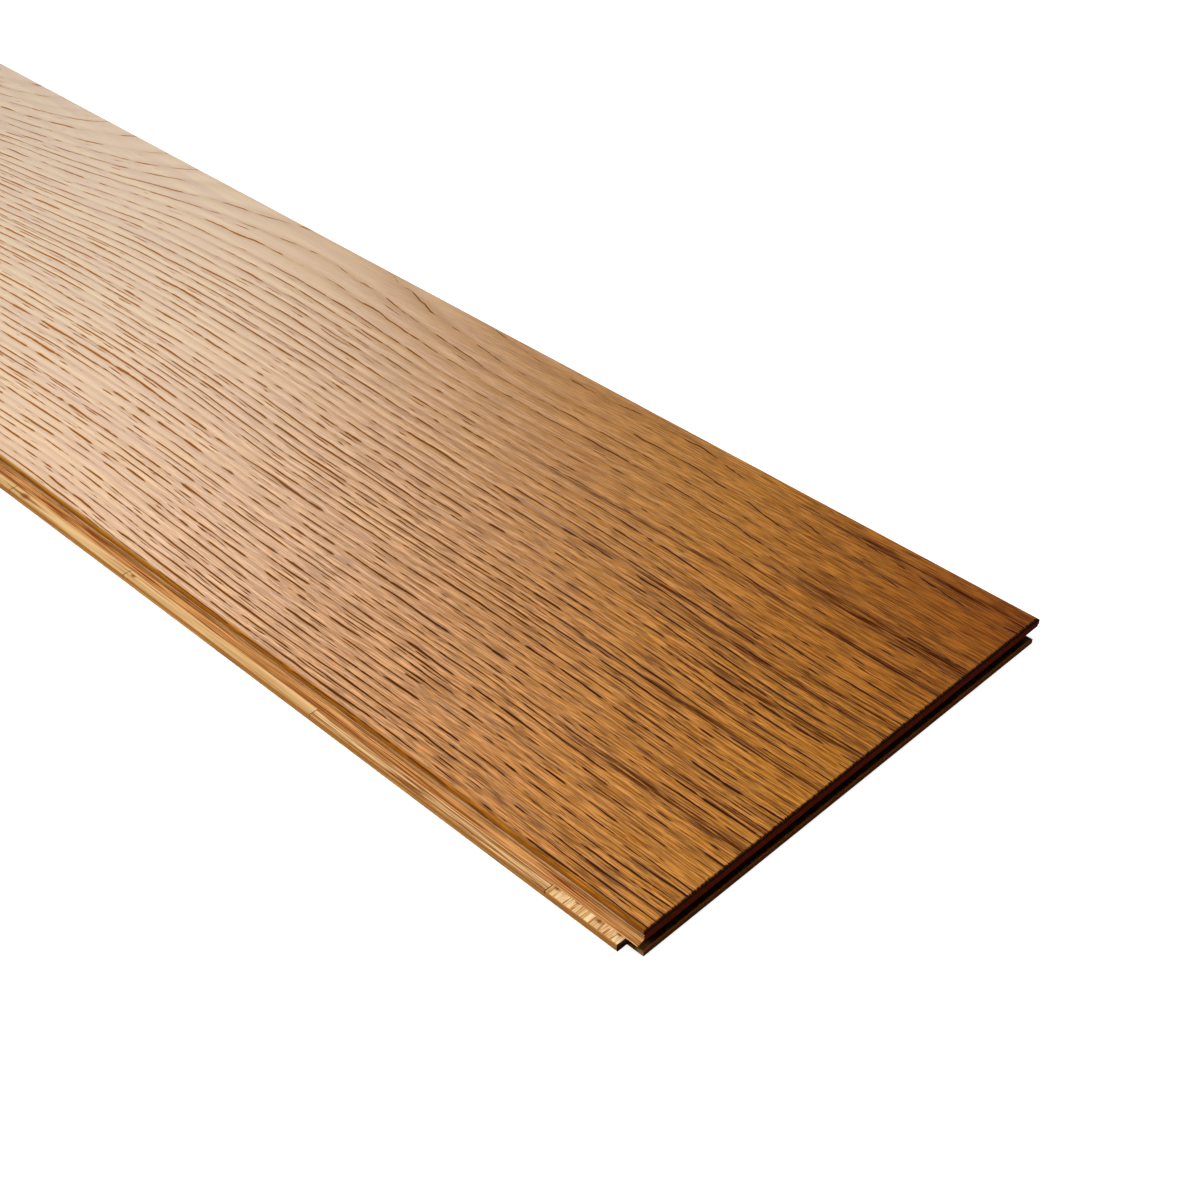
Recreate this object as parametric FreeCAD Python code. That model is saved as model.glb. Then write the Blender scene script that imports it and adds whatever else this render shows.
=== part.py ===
import FreeCAD, Part
import math
import os

# A wide engineered floorboard: an oak face layer glued on four crossed plies.
# X runs along the board, with the end groove at +X and the end tongue at -X.
# Y runs across it, with the long groove at +Y and the long tongue at -Y.
# Z is up, with the underside at zero. All sizes are in millimetres.

# The face that a laid board shows, from joint to joint
FACE_LENGTH = 1900.0
FACE_WIDTH = 190.0

# Layers, from the underside up
BACKING_THICKNESS = 2.1
LOWER_CROSS_THICKNESS = 1.4
LONG_PLY_THICKNESS = 1.8
UPPER_CROSS_THICKNESS = 1.3
OAK_THICKNESS = 3.4

# The bevel round the face
BEVEL = 0.9

# Tongues, and the room that a groove leaves past the nose of a tongue
LONG_TONGUE_REACH = 6.3
END_TONGUE_REACH = 4.0
GROOVE_END_ROOM = 0.5
NOSE_TOP_RADIUS = 0.35
NOSE_BOTTOM_RADIUS = 0.7

# The sloping root under each tongue
LONG_ROOT_REACH = 2.4
END_ROOT_REACH = 1.6

# The feathered foot of oak left on top of the long tongue, and the room for it under the next board's lip
FOOT_REACH = 2.8
FOOT_RISE = 0.6
FOOT_ROOM = 0.15

# The lower lip stands back, so that the joint closes at the face first
LONG_LIP_SETBACK = 2.0
END_LIP_SETBACK = 0.2
LIP_LEAD_IN = 0.4

# Veneer strips of the upper cross ply, counted from the end groove. The last seven repeat along the board.
FIRST_STRIP_WIDTH = 28.5
STRIP_WIDTHS = (105.5, 100.5, 70.5, 118.0, 88.0, 95.0, 76.0)
NARROWEST_STRIP = 20.0
STRIP_JOINT = 0.25

# Heights of the glue lines
BACKING_TOP = BACKING_THICKNESS
LOWER_CROSS_TOP = BACKING_TOP + LOWER_CROSS_THICKNESS
LONG_PLY_TOP = LOWER_CROSS_TOP + LONG_PLY_THICKNESS
UPPER_CROSS_TOP = LONG_PLY_TOP + UPPER_CROSS_THICKNESS
FACE_TOP = UPPER_CROSS_TOP + OAK_THICKNESS

# Edges of the face, with the whole board centred on the origin
TONGUE_END_X = -(FACE_LENGTH - END_TONGUE_REACH) / 2
GROOVE_END_X = TONGUE_END_X + FACE_LENGTH
TONGUE_SIDE_Y = -(FACE_WIDTH - LONG_TONGUE_REACH) / 2
GROOVE_SIDE_Y = TONGUE_SIDE_Y + FACE_WIDTH

# Noses of the tongues and floors of the grooves
END_NOSE_X = TONGUE_END_X - END_TONGUE_REACH
LONG_NOSE_Y = TONGUE_SIDE_Y - LONG_TONGUE_REACH
END_GROOVE_FLOOR_X = GROOVE_END_X - END_TONGUE_REACH - GROOVE_END_ROOM
LONG_GROOVE_FLOOR_Y = GROOVE_SIDE_Y - LONG_TONGUE_REACH - GROOVE_END_ROOM


def across_board(y, z):
    """A point of a section across the board, drawn in the plane of the end tongue's nose."""
    return FreeCAD.Vector(END_NOSE_X, y, z)


def along_board(x, z):
    """A point of a section along the board, drawn in the plane of the long tongue's nose."""
    return FreeCAD.Vector(x, LONG_NOSE_Y, z)


def rounded(before, corner, after, radius):
    """The tangent arc that rounds a corner, with the points where it starts and ends."""
    back = (before - corner).normalize()
    ahead = (after - corner).normalize()
    half_angle = back.getAngle(ahead) / 2
    tangent_length = radius / math.tan(half_angle)
    start = corner + back * tangent_length
    end = corner + ahead * tangent_length
    middle = corner + (back + ahead).normalize() * (radius / math.sin(half_angle) - radius)
    return start, end, Part.Arc(start, middle, end).toShape()


def section(corners, place):
    """A closed flat section. Each corner is (position, height) or (position, height, rounding radius)."""
    points = [place(corner[0], corner[1]) for corner in corners]
    starts, ends, arcs = [], [], []
    for index, corner in enumerate(corners):
        start = end = points[index]
        arc = None
        if len(corner) == 3:
            after = points[(index + 1) % len(points)]
            start, end, arc = rounded(points[index - 1], points[index], after, corner[2])
        starts.append(start)
        ends.append(end)
        arcs.append(arc)
    edges = []
    for index, arc in enumerate(arcs):
        edges.append(Part.LineSegment(ends[index - 1], starts[index]).toShape())
        if arc:
            edges.append(arc)
    return Part.Face(Part.Wire(edges))


def layer(across_corners, along_corners):
    """One layer of the board: its section across the board and its section along it, run through each other."""
    whole_length = FreeCAD.Vector(GROOVE_END_X - END_NOSE_X, 0, 0)
    whole_width = FreeCAD.Vector(0, GROOVE_SIDE_Y - LONG_NOSE_Y, 0)
    lengthwise = section(across_corners, across_board).extrude(whole_length)
    crosswise = section(along_corners, along_board).extrude(whole_width)
    return lengthwise.common(crosswise).removeSplitter().Solids[0]


def oak_wear_layer():
    """The face: bevelled all round, with the foot on its tongue side and the lip's relief on its groove side."""
    bevel_foot = FACE_TOP - BEVEL
    relief_rise = FOOT_RISE + FOOT_ROOM
    relief_reach = FOOT_REACH * relief_rise / FOOT_RISE
    across = [
        (TONGUE_SIDE_Y - FOOT_REACH, UPPER_CROSS_TOP),
        (GROOVE_SIDE_Y - relief_reach, UPPER_CROSS_TOP),
        (GROOVE_SIDE_Y, UPPER_CROSS_TOP + relief_rise),
        (GROOVE_SIDE_Y, bevel_foot),
        (GROOVE_SIDE_Y - BEVEL, FACE_TOP),
        (TONGUE_SIDE_Y + BEVEL, FACE_TOP),
        (TONGUE_SIDE_Y, bevel_foot),
        (TONGUE_SIDE_Y, UPPER_CROSS_TOP + FOOT_RISE),
    ]
    along = [
        (TONGUE_END_X, UPPER_CROSS_TOP),
        (GROOVE_END_X, UPPER_CROSS_TOP),
        (GROOVE_END_X, bevel_foot),
        (GROOVE_END_X - BEVEL, FACE_TOP),
        (TONGUE_END_X + BEVEL, FACE_TOP),
        (TONGUE_END_X, bevel_foot),
    ]
    return layer(across, along)


def tongue_section(nose, groove_floor, bottom, top, bottom_radius=None, top_radius=None):
    """A ply that reaches from a groove's floor to a tongue's nose, with one edge of the nose rounded."""
    nose_bottom = (nose, bottom, bottom_radius) if bottom_radius else (nose, bottom)
    nose_top = (nose, top, top_radius) if top_radius else (nose, top)
    return [nose_bottom, (groove_floor, bottom), (groove_floor, top), nose_top]


def upper_cross_ply():
    """The upper half of both tongues, before it is parted into strips."""
    heights = {"bottom": LONG_PLY_TOP, "top": UPPER_CROSS_TOP, "top_radius": NOSE_TOP_RADIUS}
    across = tongue_section(LONG_NOSE_Y, LONG_GROOVE_FLOOR_Y, **heights)
    along = tongue_section(END_NOSE_X, END_GROOVE_FLOOR_X, **heights)
    return layer(across, along)


def long_ply():
    """The lower half of both tongues."""
    heights = {"bottom": LOWER_CROSS_TOP, "top": LONG_PLY_TOP, "bottom_radius": NOSE_BOTTOM_RADIUS}
    across = tongue_section(LONG_NOSE_Y, LONG_GROOVE_FLOOR_Y, **heights)
    along = tongue_section(END_NOSE_X, END_GROOVE_FLOOR_X, **heights)
    return layer(across, along)


def root_section(face_edge, root_reach, groove_floor):
    """A ply that ends at a groove's floor and slopes out under the tongue on its other side."""
    return [
        (face_edge, BACKING_TOP),
        (groove_floor, BACKING_TOP),
        (groove_floor, LOWER_CROSS_TOP),
        (face_edge - root_reach, LOWER_CROSS_TOP),
    ]


def lower_cross_ply():
    """The ply between the tongues and the backing."""
    across = root_section(TONGUE_SIDE_Y, LONG_ROOT_REACH, LONG_GROOVE_FLOOR_Y)
    along = root_section(TONGUE_END_X, END_ROOT_REACH, END_GROOVE_FLOOR_X)
    return layer(across, along)


def lip_section(face_edge, lip_edge):
    """A ply that makes the lower lip of a groove, with a lead-in along the lip's upper edge."""
    return [
        (face_edge, 0),
        (lip_edge, 0),
        (lip_edge, BACKING_TOP - LIP_LEAD_IN),
        (lip_edge - LIP_LEAD_IN, BACKING_TOP),
        (face_edge, BACKING_TOP),
    ]


def backing_ply():
    """The bottom ply, which the board lies on."""
    across = lip_section(TONGUE_SIDE_Y, GROOVE_SIDE_Y - LONG_LIP_SETBACK)
    along = lip_section(TONGUE_END_X, GROOVE_END_X - END_LIP_SETBACK)
    return layer(across, along)


def strip_joints():
    """Where the strips of the upper cross ply meet, from the end groove to the end tongue."""
    joints = [END_GROOVE_FLOOR_X - FIRST_STRIP_WIDTH]
    while True:
        width = STRIP_WIDTHS[(len(joints) - 1) % len(STRIP_WIDTHS)]
        joint = joints[-1] - width
        if joint - END_NOSE_X < NARROWEST_STRIP:
            return joints
        joints.append(joint)


def cross_strips():
    """The upper cross ply, parted at its joints."""
    ply = upper_cross_ply()
    joints = strip_joints()
    ends = [END_GROOVE_FLOOR_X + STRIP_JOINT / 2] + joints
    starts = joints + [END_NOSE_X - STRIP_JOINT / 2]
    width = LONG_GROOVE_FLOOR_Y - LONG_NOSE_Y
    strips = []
    for start, end in zip(starts, ends):
        corner = FreeCAD.Vector(start + STRIP_JOINT / 2, LONG_NOSE_Y, LONG_PLY_TOP)
        block = Part.makeBox(end - start - STRIP_JOINT, width, UPPER_CROSS_THICKNESS, corner)
        strips.append(ply.common(block).Solids[0])
    return strips


def build():
    """Every piece of the board, by name."""
    pieces = {
        "oak_wear_layer": oak_wear_layer(),
        "long_ply": long_ply(),
        "lower_cross_ply": lower_cross_ply(),
        "backing_ply": backing_ply(),
    }
    for number, strip in enumerate(cross_strips(), start=1):
        pieces[f"cross_strip_{number:02d}"] = strip
    return pieces


os.makedirs("parts", exist_ok=True)
for name, solid in build().items():
    solid.exportStep(f"parts/{name}.step")
    print(name, "volume", round(solid.Volume), "valid", solid.isValid())
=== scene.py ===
# %% [markdown]
# # A wide oak floorboard
# The object is one board of an engineered floor: a face of brushed, stained oak, glued on four crossed
# plies, with a tongue on two sides and a groove on the other two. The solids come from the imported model,
# which is never moved. Here the board gets its looks: the relief that the brushes left in the face, the
# grain of each layer, and the studio that it is seen in.

# %% Load the board
import math

import bpy
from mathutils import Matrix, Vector


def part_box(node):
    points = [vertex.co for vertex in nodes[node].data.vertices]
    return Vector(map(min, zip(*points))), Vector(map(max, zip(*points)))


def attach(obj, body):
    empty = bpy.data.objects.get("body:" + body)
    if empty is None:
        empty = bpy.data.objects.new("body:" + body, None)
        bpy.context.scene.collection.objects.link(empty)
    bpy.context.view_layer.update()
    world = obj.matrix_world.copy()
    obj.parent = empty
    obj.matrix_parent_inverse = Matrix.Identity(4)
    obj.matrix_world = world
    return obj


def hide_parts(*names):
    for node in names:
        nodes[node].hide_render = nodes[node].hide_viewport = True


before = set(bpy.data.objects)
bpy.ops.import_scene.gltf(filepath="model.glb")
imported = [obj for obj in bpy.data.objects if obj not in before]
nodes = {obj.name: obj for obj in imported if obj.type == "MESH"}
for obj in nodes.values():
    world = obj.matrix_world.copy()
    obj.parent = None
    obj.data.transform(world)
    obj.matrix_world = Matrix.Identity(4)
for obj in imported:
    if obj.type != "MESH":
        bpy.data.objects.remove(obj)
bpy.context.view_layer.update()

# %% [markdown]
# ## Three small helpers
# Colours are written as sRGB hex, as a colour picker shows them, and Blender's sockets want linear light,
# so one function turns one into the other by the sRGB curve. Another adds a node: its first argument is
# the tree, then comes the kind of node, then what goes into its sockets, and last its settings. A value
# in a socket may be a number, a colour, another node or one output of a node. The third clears the
# selection, because operators act on all of it.

# %% Helpers
MM = 0.001


def linear(hex_colour):
    """An sRGB hex colour as linear RGBA."""
    shares = [int(hex_colour[place:place + 2], 16) / 255 for place in (1, 3, 5)]
    light = [share / 12.92 if share <= 0.04045 else ((share + 0.055) / 1.055) ** 2.4 for share in shares]
    return (*light, 1.0)


def add(tree, kind, sockets=None, **settings):
    """A new node with its settings, its constants and its links."""
    node = tree.nodes.new(kind)
    for name, value in settings.items():
        setattr(node, name, value)
    for key, value in (sockets or {}).items():
        named = [socket for socket in node.inputs if socket.enabled and socket.name == key]
        socket = named[0] if named else node.inputs[key]
        if isinstance(value, bpy.types.Node):
            value = next(output for output in value.outputs if output.enabled)
        if isinstance(value, bpy.types.NodeSocket):
            tree.links.new(value, socket)
        else:
            socket.default_value = value
    return node


def select_nothing():
    """No object stays selected, so that the next operator acts on its own piece only."""
    bpy.ops.object.select_all(action="DESELECT")


select_nothing()
print("helpers ready, one millimetre is", MM, "m")

# %% [markdown]
# ## The camera
# The camera stands where the photograph was taken from: over the near corner, looking down along the
# board. Its place and its lens come from matching the board's straight edges, and it stands level, with
# no shift.

# %% Camera
CAMERA_PLACE = Vector((1191.9, -354.6, 419.3)) * MM
CAMERA_AIM = Vector((841.9, 3.2, 10.0)) * MM
LENS = 58.2
SENSOR_WIDTH = 36.0

bpy.ops.object.camera_add(location=CAMERA_PLACE)
camera = bpy.context.object
camera.rotation_euler = (CAMERA_AIM - CAMERA_PLACE).to_track_quat("-Z", "Y").to_euler()
camera.data.lens = LENS
camera.data.sensor_width = SENSOR_WIDTH
camera.data.sensor_fit = "HORIZONTAL"
bpy.context.scene.camera = camera
print("camera is", round((CAMERA_AIM - CAMERA_PLACE).length, 3), "m from the face")

# %% [markdown]
# ## How oak grows
# The pattern on a plank is a cut through rings. Each spring the tree makes a row of wide pores, and a
# stiff brush tears that soft wood out, so the rows turn into lines of dark, shallow dashes. A picture
# could show that, but a formula gives it from sizes in millimetres, and the same nodes then serve twice:
# for the relief in the mesh and for the colours of the stain. It all starts from noise that is drawn out
# along the fibres.

# %% Streaks
# How far a seed moves in the noise, so that no two seeds show the same patch
SEED_STEP_X = 31.7
SEED_STEP_Y = 17.9


def streaks(tree, flow, length, width, seed, detail=1.0):
    """Noise drawn out along the grain: length and width are the size of one streak in millimetres."""
    own_patch = (seed * SEED_STEP_X, seed * SEED_STEP_Y, 0)
    spot = add(tree, "ShaderNodeVectorMath", {0: flow, 1: (1 / length, 1 / width, 0), 2: own_patch},
               operation="MULTIPLY_ADD")
    return add(tree, "ShaderNodeTexNoise", {"Vector": spot, "Scale": 1.0, "Detail": detail},
               noise_dimensions="2D")


print("a seed moves", SEED_STEP_X, "streaks along and", SEED_STEP_Y, "across")

# %% [markdown]
# ## Rows of pores
# A pore is a tube that the saw opens at a flat angle, so on the face it is a dash with tapered ends. The
# dashes come in groups, in rows that follow the rings, and hardly two are of one size. So each row reads
# its own line of the noise: where the noise is high a dash opens, and the higher it is, the wider the
# dash. A faint line joins the dashes where a row is crowded.

# %% Rows of pores
# Most of the noise lies between these two values
NOISE_LOW = 0.3
NOISE_HIGH = 0.7
# Rows lie this far apart in the noise
ROW_STEP = 5.37
# Groups of dashes: their length in millimetres, and how much they count beside the dashes themselves
GROUP_LENGTH = 55.0
GROUP_WEIGHT = 0.5
# A row drifts to its sides: over what length, in millimetres, and how far, as a part of a ring
DRIFT_LENGTH = 24.0
DRIFT = 0.07
# The thinnest and the thickest dash, as parts of the usual one
THINNEST = 0.5
THICKEST = 1.3
# Noise at which a dash opens and is full, before the row's share of pores is taken off, then the line's
DASH_OPENS = 1.25
DASH_FULL = 1.39
LINE_OPENS = 1.1
LINE_FULL = 1.3
# The line is whole in this part of a pore's half width
LINE_CORE = 0.2
# A closed dash keeps a trace of width, because the distance is divided by it
CLOSED = 0.001


def pore_rows(tree, along, ring, row_width, pores, pore_length, spread, density, slender):
    """Rows of dashes, one to a ring: 1 on a dash's middle line, 0 beside it. Also each row's thin line."""
    middle, half_width, share, seed = pores
    half_width = half_width * spread
    row = add(tree, "ShaderNodeMath", {0: ring}, operation="FLOOR")
    own_line = add(tree, "ShaderNodeMath", {0: row, 1: ROW_STEP}, operation="MULTIPLY")
    spot = add(tree, "ShaderNodeCombineXYZ", {0: along, 1: own_line})
    # Each noise of a row has a seed of its own
    dash = streaks(tree, spot, pore_length, 1.0, seed, 2.0)
    group = streaks(tree, spot, GROUP_LENGTH, 1.0, seed + 5.3)
    thick = streaks(tree, spot, pore_length * 2, 1.0, seed + 1.9, 2.0)
    drift = streaks(tree, spot, DRIFT_LENGTH, 1.0, seed + 3.1, 3.0)
    crowded = add(tree, "ShaderNodeMath", {0: group, 1: GROUP_WEIGHT, 2: dash}, operation="MULTIPLY_ADD")
    crowded = add(tree, "ShaderNodeMath", {0: crowded, 1: density}, operation="ADD")
    thick = add(tree, "ShaderNodeMapRange",
                {0: thick, 1: NOISE_LOW, 2: NOISE_HIGH, 3: THINNEST * half_width, 4: THICKEST * half_width})
    thick = add(tree, "ShaderNodeMath", {0: thick, 1: slender}, operation="MULTIPLY")
    drift = add(tree, "ShaderNodeMapRange",
                {0: drift, 1: NOISE_LOW, 2: NOISE_HIGH, 3: middle - DRIFT, 4: middle + DRIFT})
    in_ring = add(tree, "ShaderNodeMath", {0: ring, 1: row}, operation="SUBTRACT")
    off_row = add(tree, "ShaderNodeMath", {0: in_ring, 1: drift}, operation="SUBTRACT")
    distance = add(tree, "ShaderNodeMath", {0: off_row}, operation="ABSOLUTE")
    distance = add(tree, "ShaderNodeMath", {0: distance, 1: row_width}, operation="MULTIPLY")
    reach = add(tree, "ShaderNodeMapRange",
                {0: crowded, 1: DASH_OPENS - share, 2: DASH_FULL - share, 3: CLOSED, 4: thick})
    nearness = add(tree, "ShaderNodeMath", {0: distance, 1: reach}, operation="DIVIDE")
    dashes = add(tree, "ShaderNodeMath", {0: 1.0, 1: nearness}, operation="SUBTRACT", use_clamp=True)
    line = add(tree, "ShaderNodeMapRange", {0: distance, 1: half_width, 2: LINE_CORE * half_width})
    unbroken = add(tree, "ShaderNodeMapRange", {0: crowded, 1: LINE_OPENS - share, 2: LINE_FULL - share})
    return dashes, add(tree, "ShaderNodeMath", {0: line, 1: unbroken}, operation="MULTIPLY")


print("dashes come in groups of about", GROUP_LENGTH, "mm")

# %% [markdown]
# ## Rings about a pith
# The rings are nearly round about the pith, the tree's middle line, which lies beside this plank and
# below it. So the lines run along the board, wander a little as the trunk was never straight, and arch
# where the cut comes near the pith. The distance from the pith gives the ring, and a ring that the face
# cuts at a flat angle shows wider.

# %% Rings
RING_WIDTH = 2.9
# The pith in millimetres: its place across the board, and its depth
PITH_BESIDE = 115.0
PITH_BELOW = 90.0
# Away from the grooved end the pith lies higher by the rise, which it loses between these places along x
ARCH_FROM = 330.0
ARCH_TO = 540.0
ARCH_RISE = 20.0
# Waves of the pith: height, length and where along the board they start
PITH_WAVES = ((3.5, 700.0, 425.0), (1.2, 220.0, 765.0))
# Sway and ripple of the lines: how far they go aside, the length and width of one patch, and its seed
SWAYS = ((6.0, 230.0, 80.0, 1.7), (0.8, 60.0, 22.0, 8.3))
# Right over the pith a ring would show endlessly wide, so it is never taken to be nearer than this
OVER_PITH = 12.0
# Good and bad years: by how many rings they shift a line, then length, width and seed of one patch
SEASON_SHIFT = 1.2
SEASON = (4000.0, 9.0, 2.2)


def rings(tree, place, x, y):
    """The rings at a place: its line across the board, the rings' flow, its ring and that ring's width."""
    wander = y
    for aside, length, width, seed in SWAYS:
        patch = streaks(tree, place, length, width, seed)
        wander = add(tree, "ShaderNodeMath", {0: patch, 1: aside, 2: wander}, operation="MULTIPLY_ADD")
    beside = add(tree, "ShaderNodeMath", {0: wander, 1: PITH_BESIDE}, operation="SUBTRACT")
    below = add(tree, "ShaderNodeMapRange",
                {0: x, 1: ARCH_FROM, 2: ARCH_TO, 3: PITH_BELOW - ARCH_RISE, 4: PITH_BELOW},
                interpolation_type="SMOOTHSTEP")
    for height, length, start in PITH_WAVES:
        pace = 2 * math.pi / length
        turn = add(tree, "ShaderNodeMath", {0: x, 1: pace, 2: -pace * start}, operation="MULTIPLY_ADD")
        wave = add(tree, "ShaderNodeMath", {0: turn}, operation="SINE")
        below = add(tree, "ShaderNodeMath", {0: wave, 1: height, 2: below}, operation="MULTIPLY_ADD")
    from_pith = add(tree, "ShaderNodeCombineXYZ", {0: beside, 1: below})
    radius = add(tree, "ShaderNodeVectorMath", {0: from_pith}, operation="LENGTH").outputs["Value"]
    off_pith = add(tree, "ShaderNodeMath", {0: beside}, operation="ABSOLUTE")
    off_pith = add(tree, "ShaderNodeMath", {0: off_pith, 1: OVER_PITH}, operation="MAXIMUM")
    stretch = add(tree, "ShaderNodeMath", {0: radius, 1: off_pith}, operation="DIVIDE")
    row_width = add(tree, "ShaderNodeMath", {0: stretch, 1: RING_WIDTH}, operation="MULTIPLY")
    flow = add(tree, "ShaderNodeCombineXYZ", {0: x, 1: radius})
    season = streaks(tree, flow, *SEASON)
    ring = add(tree, "ShaderNodeMath", {0: radius, 1: 1 / RING_WIDTH}, operation="MULTIPLY")
    ring = add(tree, "ShaderNodeMath", {0: season, 1: SEASON_SHIFT, 2: ring}, operation="MULTIPLY_ADD")
    return wander, flow, ring, row_width


print("rings are about", RING_WIDTH, "mm apart")

# %% [markdown]
# ## Grain of the oak
# One function now tells all that the relief and the stain need to know about a place on the face: its
# pores, the soft early wood of its ring, its fibres in several sizes, and how far it is from the board's
# ends. Two sizes of pore share a ring. The stain deepens towards the grooved end, and the pores there are
# more slender.

# %% Grain of the oak
face_low, face_high = (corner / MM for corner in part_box("oak_wear_layer"))
END_X = round(face_high.x, 3)
HALF_LENGTH = round((face_high.x - face_low.x) / 2, 3)
PORE_LENGTH = 12.0
# Pores: their place in the ring, their half width in millimetres, their share of the row, and their seed
LARGE_PORES = (0.3, 0.46, 0.62, 0.3)
SMALL_PORES = (0.7, 0.28, 0.44, 9.6)
# The soft early wood rises at the start of a ring and falls off over its middle
EARLY_RISE = 0.2
EARLY_FALL_FROM = 0.25
EARLY_FALL_TO = 0.75
# Zones of more and fewer pores: length, width and seed of one zone, and what they add to the density
ZONES = (150.0, 24.0, 6.1)
ZONE_DENSITY = 0.07
# The groove's side is calmer: from where to where across the board, and what that adds
CALM_FROM = 40.0
CALM_TO = 90.0
CALM_DENSITY = -0.09
# The stain deepens from the first to the second distance from the grooved end, and adds this to the density
STAIN_FROM = 520
STAIN_TO = 60
DEEP_DENSITY = -0.02
# Between these depths of stain the pores grow more slender, down to this part of their width
SLENDER_FROM = 0.3
SLENDER_TO = 0.9
SLENDER = 0.86
# The last stretch before the grooved end, by distance
NEAR_END_FROM = 150
NEAR_END_TO = 50
# Finer patterns: length and width of one streak in millimetres, seed and detail
FINE_STREAKS = {
    "fibres": (18.0, 0.55, 7.7, 3.0),
    "flecks": (2.4, 0.8, 4.4, 2.0),
    "weave": (8.0, 0.36, 5.8, 2.0),
    "figure": (130.0, 5.0, 3.9, 3.0),
}


def oak_grain(tree, place, pore_length=PORE_LENGTH, spread=1.0):
    """The grain at a place in millimetres. A coarse mesh wants longer and, by the spread, wider pores."""
    parts = add(tree, "ShaderNodeSeparateXYZ", {0: place})
    x, y, z = (parts.outputs[axis] for axis in "XYZ")
    wander, flow, ring, row_width = rings(tree, place, x, y)
    in_ring = add(tree, "ShaderNodeMath", {0: ring}, operation="FRACT")
    rise = add(tree, "ShaderNodeMapRange", {0: in_ring, 1: 0.0, 2: EARLY_RISE})
    fall = add(tree, "ShaderNodeMapRange",
               {0: in_ring, 1: EARLY_FALL_FROM, 2: EARLY_FALL_TO, 3: 1.0, 4: 0.0},
               interpolation_type="SMOOTHSTEP")
    zone = streaks(tree, flow, *ZONES)
    density = add(tree, "ShaderNodeMapRange",
                  {0: zone, 1: NOISE_LOW, 2: NOISE_HIGH, 3: -ZONE_DENSITY, 4: ZONE_DENSITY})
    calm = add(tree, "ShaderNodeMapRange", {0: y, 1: CALM_FROM, 2: CALM_TO, 3: 0.0, 4: CALM_DENSITY})
    density = add(tree, "ShaderNodeMath", {0: density, 1: calm}, operation="ADD")
    depth = add(tree, "ShaderNodeMapRange", {0: x, 1: END_X - STAIN_FROM, 2: END_X - STAIN_TO})
    density = add(tree, "ShaderNodeMath", {0: depth, 1: DEEP_DENSITY, 2: density}, operation="MULTIPLY_ADD")
    slender = add(tree, "ShaderNodeMapRange",
                  {0: depth, 1: SLENDER_FROM, 2: SLENDER_TO, 3: 1.0, 4: SLENDER})
    large, line = pore_rows(tree, x, ring, row_width, LARGE_PORES, pore_length, spread, density, slender)
    small, _ = pore_rows(tree, x, ring, row_width, SMALL_PORES, pore_length, spread, density, slender)
    off_middle = add(tree, "ShaderNodeMath", {0: x, 1: END_X - HALF_LENGTH}, operation="SUBTRACT")
    off_middle = add(tree, "ShaderNodeMath", {0: off_middle}, operation="ABSOLUTE")
    fine_flow = add(tree, "ShaderNodeCombineXYZ", {0: x, 1: wander})
    fine = {name: streaks(tree, fine_flow, *size) for name, size in FINE_STREAKS.items()}
    return {
        **fine,
        "large": large,
        "small": small,
        "line": line,
        "early": add(tree, "ShaderNodeMath", {0: rise, 1: fall}, operation="MULTIPLY"),
        "stain_depth": depth,
        "across": y,
        "wander": wander,
        "height": z,
        "near_end": add(tree, "ShaderNodeMapRange",
                        {0: x, 1: END_X - NEAR_END_FROM, 2: END_X - NEAR_END_TO}),
        "end_distance": add(tree, "ShaderNodeMath", {0: HALF_LENGTH, 1: off_middle}, operation="SUBTRACT"),
        "from_groove_end": add(tree, "ShaderNodeMath", {0: END_X, 1: x}, operation="SUBTRACT"),
    }


print("the face ends at", END_X, "mm and is", 2 * HALF_LENGTH, "mm long")

# %% [markdown]
# ## The oak face
# The face is the one piece that a brush has carved, so it is modelled again as a mesh and stands for the
# plain solid. It could be the solid itself with bump alone, but then its edges would stay straight where
# the real ones are notched. It starts as a grid that is fine across the grain, where the dashes are
# narrow, and coarse along it. The grid is kept under the limit of triangles, and finer pores are bump.

# %% Face grid
FACE_TOP = face_high.z
GLUE_LINE = face_low.z
BEVEL = 0.9
FOOT_REACH = 2.8
TONGUE_SIDE = face_low.y + FOOT_REACH
GROOVE_SIDE = face_high.y
CELLS_ALONG = 300
CELLS_ACROSS = 310

face_middle = Vector(((face_low.x + face_high.x) / 2, (TONGUE_SIDE + GROOVE_SIDE) / 2, FACE_TOP))
face_size = Vector((face_high.x - face_low.x, GROOVE_SIDE - TONGUE_SIDE, 0))
flat_size = face_size - Vector((2 * BEVEL, 2 * BEVEL, 0))

bpy.ops.mesh.primitive_grid_add(x_subdivisions=CELLS_ALONG, y_subdivisions=CELLS_ACROSS, size=1.0,
                                location=face_middle * MM)
oak_face = bpy.context.object
oak_face.name = "oak_face"
oak_face.scale = (flat_size.x * MM, flat_size.y * MM, 1.0)
bpy.ops.object.transform_apply(location=True, rotation=True, scale=True)
print("face grid:", len(oak_face.data.polygons), "faces of",
      round(flat_size.x / CELLS_ALONG, 2), "by", round(flat_size.y / CELLS_ACROSS, 2), "mm")

# %% [markdown]
# ## The moulded edge
# On the real board a moulder cuts each side in one pass, and its knives leave a bevel, an upright side, and
# on the tongue a foot of oak that runs out to nothing. The grid's border is extruded down that profile, so
# the face and its edges stay one skin, and the brushed notches run on into the bevel. A narrow band below
# the bevel is kept for a pale line, a painted highlight along the arris.

# %% Bevel and sides
FOOT_RISE = 0.6
HIGHLIGHT_BAND = 0.22
side_height = FACE_TOP - BEVEL - GLUE_LINE
widening = (face_size.x / flat_size.x, face_size.y / flat_size.y, 1.0)

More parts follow.
